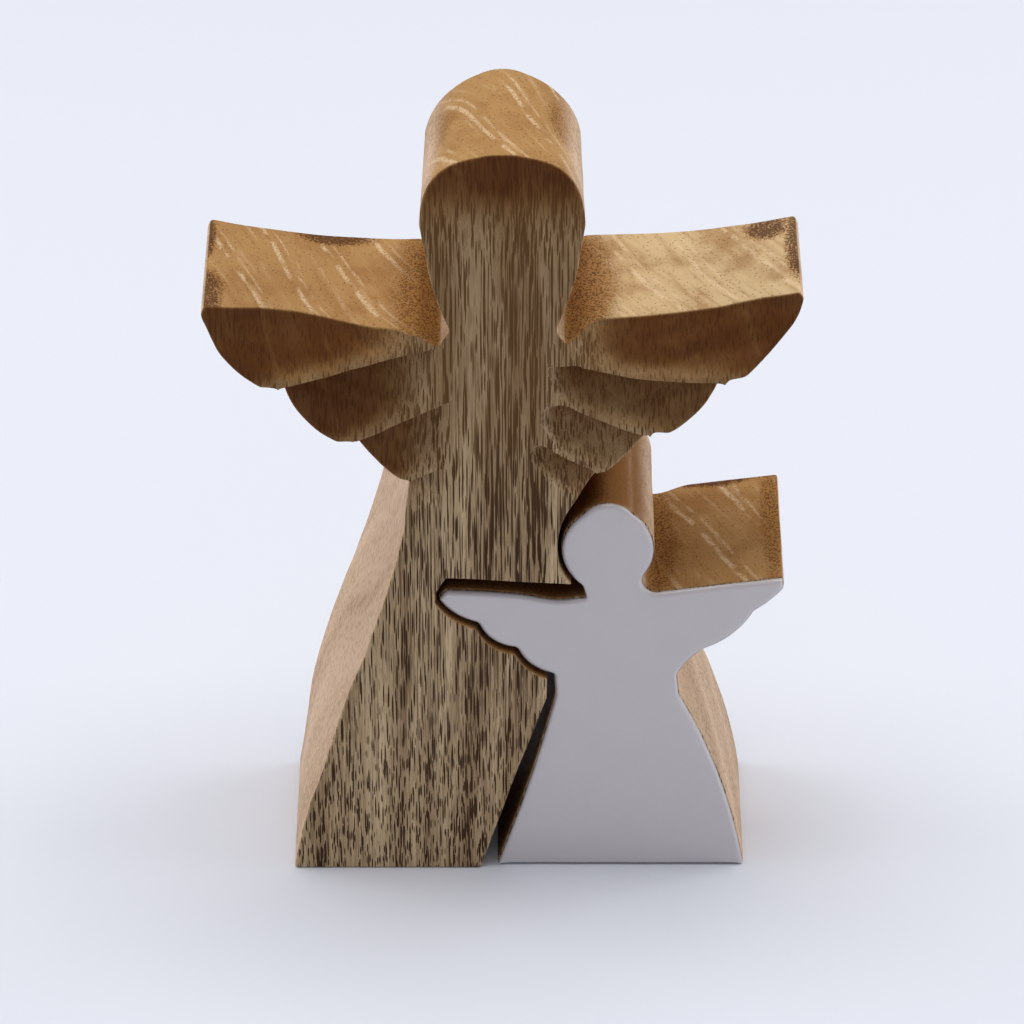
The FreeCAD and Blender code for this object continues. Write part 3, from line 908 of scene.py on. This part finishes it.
# How dark each kind is everywhere, and how much darker where it is at home.
DASH_DARK, LONG_DARK, THREAD_DARK = (0.15, 0.85), (0.1, 0.9), (0.35, 0.60)
LOW_FROM, LOW_TO = 58, 12
MIDDLE, MIDDLE_EDGE, MIDDLE_CORE = -1.0, 26, 8
MIDDLE_FROM, MIDDLE_TO = 25, 60


def tubes(finish, place, crowd, cells, shift, spread, edge):
    """The dark insides of long thin cells, which are wider where vessels crowd together."""
    gap = finish.cells(finish.stretch(place, cells, shift))
    return (gap - crowd * spread).step(edge, TUBE_CORE)


def vessels_of(finish, place, bands):
    """1 inside a vessel and 0 beside it. Vessels crowd together in some bands."""
    x, _, z = finish.parts(place)
    crowd = (bands - 0.5) * CROWDING
    low = z.step(LOW_FROM, LOW_TO)
    middle = (x - MIDDLE).size().step(MIDDLE_EDGE, MIDDLE_CORE) * z.step(MIDDLE_FROM, MIDDLE_TO)
    dashes = tubes(finish, place, crowd, *DASHES) * low.lift(*DASH_DARK)
    streaks = tubes(finish, place, crowd, *STREAKS)
    longs = tubes(finish, place, crowd, *LONG_TUBES) * middle.lift(*LONG_DARK)
    thread = finish.noise(finish.stretch(place, THREAD_GRAIN, THREAD_SHIFT))
    threads = (thread + crowd * THREAD_SPREAD).step(THREAD_EDGE, THREAD_CORE)
    threads = threads * middle.lift(*THREAD_DARK)
    return dashes.larger(streaks).larger(longs).larger(threads)


print("tubes are up to", [round(1 / kind[0][2], 1) for kind in (DASHES, STREAKS, LONG_TUBES)], "mm")

# %% [markdown]
# The front and back show the grain at its darkest, with every vessel open. The sawn sides are
# paler and quieter, and the upper part of the board, which was handled most, is browner.

# %% Long grain
LIGHT = (0.74, 0.555, 0.335)
TAN = (0.40, 0.265, 0.145)
VESSEL = (0.046, 0.020, 0.009)
SIDE_PALE = (0.78, 0.55, 0.37)
SIDE_TAN = (0.58, 0.385, 0.24)
STAIN_LIGHT = (0.235, 0.115, 0.034)
BROWNED_FROM, BROWNED_TO, BROWNED = 66, 112, 0.50
# Where each pattern turns from the first colour to the second.
BAND_EDGES, SIDE_BAND_EDGES = (0.34, 0.66), (0.30, 0.70)
FINE_EDGES, HAIR_EDGES = (0.42, 0.64), (0.52, 0.68)
# How strong each is on the sides, and how much stronger on the front and back.
FINE_SHARE, HAIR_SHARE, VESSEL_SHARE = (0.20, 0.5), (0.08, 0.32), (0.20, 0.76)


def long_grain(finish, bands, fine, hair, vessels, face, z):
    """Colour of the front, the back and the sides; face is 1 on the front and the back."""
    broad = finish.mix(bands.step(*BAND_EDGES), LIGHT, TAN)
    sawn_side = finish.mix(bands.step(*SIDE_BAND_EDGES), SIDE_PALE, SIDE_TAN)
    colour = finish.mix(face, sawn_side, broad)
    colour = finish.mix(fine.step(*FINE_EDGES) * face.lift(*FINE_SHARE), colour, TAN)
    colour = finish.mix(hair.step(*HAIR_EDGES) * face.lift(*HAIR_SHARE), colour, VESSEL)
    colour = finish.mix(vessels * face.lift(*VESSEL_SHARE), colour, VESSEL)
    return finish.mix(z.step(BROWNED_FROM, BROWNED_TO) * face * BROWNED, colour, STAIN_LIGHT)


print("the wood turns brown between", BROWNED_FROM, "and", BROWNED_TO, "mm above the table")

# %% [markdown]
# On the end grain, along the tops of the wings and heads, each ring ends in a broken pale line.
# Between the lines lie slivers of lighter and darker wood and many tiny pores.

# %% End grain
END_GRAIN = (0.43, 0.240, 0.092)
END_DARK = (0.29, 0.130, 0.040)
END_RIGHT = (0.62, 0.44, 0.235)
END_PALE = (0.80, 0.60, 0.38)
SCORCHED = (0.070, 0.022, 0.011)
# The right wing is paler: between these places across the board, above these heights.
PALE_ACROSS, PALE_ABOVE = (6, 26), (95, 110)
SLIVERS_TO_A_RING, SLIVERS_ALONG, SLIVERS_UP = 7.0, 0.09, 0.02
PORE_CELLS = (1.3, 1.3, 0.5)


def ring_lines(finish, place, ring, grit):
    """The pale lines: one broken line to each ring, and a fainter one beside it."""
    wander = finish.noise(finish.stretch(place, (0.5, 0.5, 0.5)))
    line = (ring + (wander - 0.5) * 0.06).fraction()
    gate = finish.noise(finish.stretch(place, (0.22, 0.22, 0.22), (6, 2, 4)), detail=1.0)
    first = (line - 0.5).size().step(0.075, 0.015) * gate.step(0.40, 0.52)
    second = (line - 0.69).size().step(0.045, 0.008) * gate.step(0.62, 0.46) * 0.7
    return first, first.larger(second) * grit.step(0.36, 0.52)


def end_grain(finish, place, ring, blotch, lines):
    """Colour of the tops, before any spots."""
    x, y, z = finish.parts(place)
    trace = x * RING_BACK - y * RING_ACROSS
    along = finish.point(ring * SLIVERS_TO_A_RING, trace * SLIVERS_ALONG, z * SLIVERS_UP)
    slivers = finish.noise(along, detail=3.0)
    colour = finish.mix(x.step(*PALE_ACROSS) * z.step(*PALE_ABOVE), END_GRAIN, END_RIGHT)
    colour = finish.mix(blotch.step(0.44, 0.72) * 0.55, colour, END_DARK)
    colour = finish.mix(slivers.step(0.50, 0.70) * 0.34, colour, END_DARK)
    colour = finish.mix(slivers.step(0.44, 0.30) * 0.20, colour, END_PALE)
    colour = finish.mix(lines * 0.62, colour, END_PALE)
    pores = finish.cells(finish.stretch(place, PORE_CELLS, (8, 1, 3))).step(0.25, 0.14)
    return finish.mix(pores * 0.55, colour, SCORCHED)


print("slivers are", round(RING_WIDTH / SLIVERS_TO_A_RING, 1), "mm wide")

# %% [markdown]
# A hot blade scorched the wing tips, and the strips beside the necks were left rough and soaked up
# oil. These marks belong to certain places, so each is given as a centre and a reach, and two
# noises fray its edge. The top of the small head is darkened all over with painted shade, for the
# shadow that the large angel's wing casts on it.

# %% Scorched spots and rough strips
# Centre (x, y, z), then reach in x and y, in millimetres.
SCORCHES = (
    (-49.8, -7.0, 118, 3.6, 8.5),
    (-50.0, 9.0, 118, 1.8, 8.0),
    (50.0, 7.0, 118, 2.8, 13.0),
    (45.0, 12.5, 118, 4.5, 4.0),
    (-28.0, 14.5, 118, 8.0, 3.2),
    (49.2, 5.0, 62, 1.6, 14.0),
    (38.0, 15.0, 62, 8.0, 2.0),
)
STRIPS = (
    (13.0, -2.0, 118, 6.5, 24.0),
    (-13.0, -2.0, 118, 6.0, 24.0),
    (25.5, 0.0, 62, 5.5, 26.0),
    (47.0, 4.0, 62, 2.5, 20.0),
    (11.0, 5.0, 145, 4.0, 9.0),
    (-11.5, 3.0, 143, 3.0, 9.0),
)
SPOT_HEIGHT = 14.0
RUST = (0.34, 0.155, 0.036)
# The small head's middle, and how far its painted shade reaches from it across and up.
SMALL_HEAD_X, SMALL_HEAD_Z = 17.5, 72.0
SMALL_HEAD_ACROSS, SMALL_HEAD_UP = (9.0, 6.0), (11.0, 8.0)


def near_any(place_parts, spots):
    """1 in the middle of every spot, falling to 0 at its edge."""
    x, y, z = place_parts
    nearest = x * 0.0
    for spot_x, spot_y, spot_z, reach_x, reach_y in spots:
        far = ((x - spot_x) / reach_x).square() + ((y - spot_y) / reach_y).square()
        far = far + ((z - spot_z) / SPOT_HEIGHT).square()
        nearest = nearest.larger(far.step(1.4, 0.1))
    return nearest


def marked(finish, place, colour, blotch, grit):
    """The end grain's colour with its rough strips, scorched spots and painted shade on the small
    head.
    """
    x, y, z = parts = finish.parts(place)
    rough = near_any(parts, STRIPS)
    rusty = (rough + (blotch - 0.5) * 0.8).step(0.15, 0.85) * rough
    colour = finish.mix(rusty * 0.75, colour, RUST)
    colour = finish.mix(grit.step(0.48, 0.60) * rough * 0.85, colour, SCORCHED)
    burnt = near_any(parts, SCORCHES) + (blotch - 0.5) * 0.8 + (grit - 0.5) * 2.2
    colour = finish.mix(burnt.step(0.10, 0.55) * 0.45, colour, RUST)
    colour = finish.mix(burnt.step(0.40, 1.00) * 0.85, colour, SCORCHED)
    # Painted shade: the top of the small head is darkened as if in the large angel's shadow.
    across = (x - SMALL_HEAD_X).size().step(*SMALL_HEAD_ACROSS)
    painted_head_shade = across * (z - SMALL_HEAD_Z).size().step(*SMALL_HEAD_UP)
    return finish.mix(painted_head_shade, colour, END_DARK)


print(len(SCORCHES), "scorched spots and", len(STRIPS), "rough strips")

# %% [markdown]
# Now the pieces of the finish come together. Which way the surface faces says whether it shows
# long grain or end grain. The values stored in the mesh say where it is dyed, and where painted
# shade darkens it under the lips and in the nest's gap. Open vessels are also rougher and slightly
# sunken. That is too fine for the mesh, so it is left to a bump.

# %% Finish of the wood
# The darkest stain, which also colours the painted shade under the lips and in the nest's gap.
STAIN_AND_SHADE_DARK = (0.120, 0.036, 0.006)
FINE_GRAIN = (2.4, 2.4, 0.05)
HAIR_GRAIN = (6.0, 6.0, 0.16)
BLOTCH_GRAIN = (0.13, 0.13, 0.13)
GRIT_GRAIN = (2.8, 2.8, 2.8)
BUMP_STRENGTH, BUMP_RELIEF = 0.4, 0.2


def wood():
    """The solid wood of both angels."""
    finish = Finish("open_grained_wood", Specular_IOR_Level=0.08)
    place = finish.place()
    height = finish.parts(place)[2]
    stain = finish.node("ShaderNodeAttribute", {"attribute_name": "stain"}, output=2)
    facing = finish.parts(finish.node("ShaderNodeNewGeometry", output=1))
    face, end = facing[1].size().step(0.3, 0.7), facing[2].step(0.35, 0.8)

    ring = rings_of(finish, place)
    bands = bands_of(finish, ring, height)
    vessels = vessels_of(finish, place, bands)
    fine = finish.noise(finish.stretch(place, FINE_GRAIN), detail=3.0, roughness=0.7)
    hair = finish.noise(finish.stretch(place, HAIR_GRAIN, (3, 7, 1)))
    blotch = finish.noise(finish.stretch(place, BLOTCH_GRAIN, (2, 5, 8)), detail=4.0)
    grit = finish.noise(finish.stretch(place, GRIT_GRAIN))

    first_line, lines = ring_lines(finish, place, ring, grit)
    side = long_grain(finish, bands, fine, hair, vessels, face, height)
    top = end_grain(finish, place, ring, blotch, lines)
    colour = finish.mix(end, side, marked(finish, place, top, blotch, grit))

    # Real stain and painted shade, under the lips and in the gap, both turn the wood this dark
    # brown.
    stain_and_shade_share = stain.step(0.30, 0.95) + (blotch - 0.5) * 0.9 + (fine - 0.5) * 0.5
    stain_and_shade_colour = finish.mix(stain_and_shade_share.clamp(), STAIN_LIGHT, STAIN_AND_SHADE_DARK)
    stain_and_shade_colour = finish.mix(first_line * 0.25, stain_and_shade_colour, STAIN_LIGHT)
    stain_and_shade_colour = finish.mix(vessels * 0.45, stain_and_shade_colour, SCORCHED)
    finish.drive(Base_Color=finish.mix(stain.step(0.05, 0.70) * 0.94, colour, stain_and_shade_colour))
    finish.drive(Roughness=0.48 + vessels * 0.22 + (fine - 0.5) * 0.15)
    relief = fine * 0.25 + hair * 0.2 - vessels * 0.6 + grit * end * 0.35
    finish.drive(Normal=finish.bump(relief, BUMP_STRENGTH, BUMP_RELIEF))
    return finish.material


wood_finish = wood()
for piece in (mother, child):
    piece.data.materials.append(wood_finish)
print("the wood's finish has", len(wood_finish.node_tree.nodes), "nodes")

# %% [markdown]
# ## White enamel
#
# The face is thick glossy paint. It is nearly white with a slight lilac cast, and its gloss comes
# from a smooth coat. A faint swell bends the reflections, and a few specks of dust sit in it.

# %% Finish of the enamel
ENAMEL_DARK, ENAMEL_LIGHT = (0.620, 0.570, 0.585), (0.655, 0.605, 0.620)
DUST = (0.55, 0.5, 0.45)
CLOUD_GRAIN, PEEL_GRAIN, DUST_CELLS = (0.09,) * 3, (0.5,) * 3, (0.45,) * 3
PEEL_STRENGTH, PEEL_RELIEF = 0.2, 0.3


def enamel():
    """Thick glossy paint: a coloured body under a smooth clear coat."""
    finish = Finish("white_enamel", Coat_Weight=1.0, Coat_Roughness=0.05, Coat_IOR=1.7,
                    Specular_IOR_Level=0.4)
    place = finish.place()
    cloud = finish.noise(finish.stretch(place, CLOUD_GRAIN), detail=3.0)
    peel = finish.noise(finish.stretch(place, PEEL_GRAIN))
    dust = finish.cells(finish.stretch(place, DUST_CELLS)).step(0.09, 0.05)
    colour = finish.mix(cloud, ENAMEL_DARK, ENAMEL_LIGHT)
    finish.drive(Base_Color=finish.mix(dust * 0.25, colour, DUST))
    finish.drive(Roughness=0.22 + (cloud - 0.5) * 0.1)
    finish.drive(Normal=finish.bump(peel, PEEL_STRENGTH, PEEL_RELIEF))
    return finish.material


enamel_finish = enamel()
coat.data.materials.append(enamel_finish)
print("the enamel's finish has", len(enamel_finish.node_tree.nodes), "nodes")

# %% [markdown]
# ## Floor and light
#
# The set stands on pale paper in soft light. Two wide lamps stand to the left and right, a
# little behind it, and one hangs overhead, so that the top and the sides are bright and the front
# is in gentle shade, lit mostly by the floor.

# %% Lay the floor
PAPER_DARK, PAPER_LIGHT = (0.745, 0.765, 0.835), (0.765, 0.785, 0.855)
PAPER_GRAIN = (0.004,) * 3
FLOOR_HALF = 2.5


def paper():
    """Matt paper with a barely visible cloud in it."""
    finish = Finish("pale_paper", Specular_IOR_Level=0.2, Roughness=0.9)
    cloud = finish.noise(finish.stretch(finish.place(), PAPER_GRAIN))
    finish.drive(Base_Color=finish.mix(cloud, PAPER_DARK, PAPER_LIGHT))
    return finish.material


floor_mesh = bpy.data.meshes.new("paper_floor")
corners = [(-1, -1), (1, -1), (1, 1), (-1, 1)]
corners = [(x * FLOOR_HALF, y * FLOOR_HALF, 0) for x, y in corners]
floor_mesh.from_pydata(corners, [], [(0, 1, 2, 3)])
floor_mesh.materials.append(paper())
floor = bpy.data.objects.new("paper_floor", floor_mesh)
bpy.context.scene.collection.objects.link(floor)
print("the floor is", 2 * FLOOR_HALF, "m wide")

# %% Hang the lamps
LAMP_AIM = Vector((0, 0, 0.07))
SIDE_OUT, SIDE_BACK, SIDE_UP, SIDE_SIZE, SIDE_WATTS = 0.95, 0.15, 0.55, 0.7, 4.0
OVER_BACK, OVER_UP, OVER_SIZE, OVER_WATTS = 0.12, 1.2, 0.75, 8.8
ROOM_COLOUR, ROOM_STRENGTH = (0.93, 0.95, 1.0, 1), 0.29


def lamp(name, place, size, watts):
    """A square soft lamp that faces the middle of the set."""
    light = bpy.data.lights.new(name, "AREA")
    light.size = size
    light.energy = watts
    item = bpy.data.objects.new(name, light)
    item.location = place
    item.rotation_euler = (LAMP_AIM - Vector(place)).to_track_quat("-Z", "Y").to_euler()
    bpy.context.scene.collection.objects.link(item)


lamp("lamp_left", (-SIDE_OUT, SIDE_BACK, SIDE_UP), SIDE_SIZE, SIDE_WATTS)
lamp("lamp_right", (SIDE_OUT, SIDE_BACK, SIDE_UP), SIDE_SIZE, SIDE_WATTS)
lamp("lamp_overhead", (0.0, OVER_BACK, OVER_UP), OVER_SIZE, OVER_WATTS)

world = bpy.data.worlds.new("soft_room")
bpy.context.scene.world = world
world.use_nodes = True
room = world.node_tree.nodes["Background"].inputs
room["Color"].default_value = ROOM_COLOUR
room["Strength"].default_value = ROOM_STRENGTH
bpy.context.scene.view_settings.view_transform = "Standard"
print("three lamps,", 2 * SIDE_WATTS + OVER_WATTS, "watts in all")
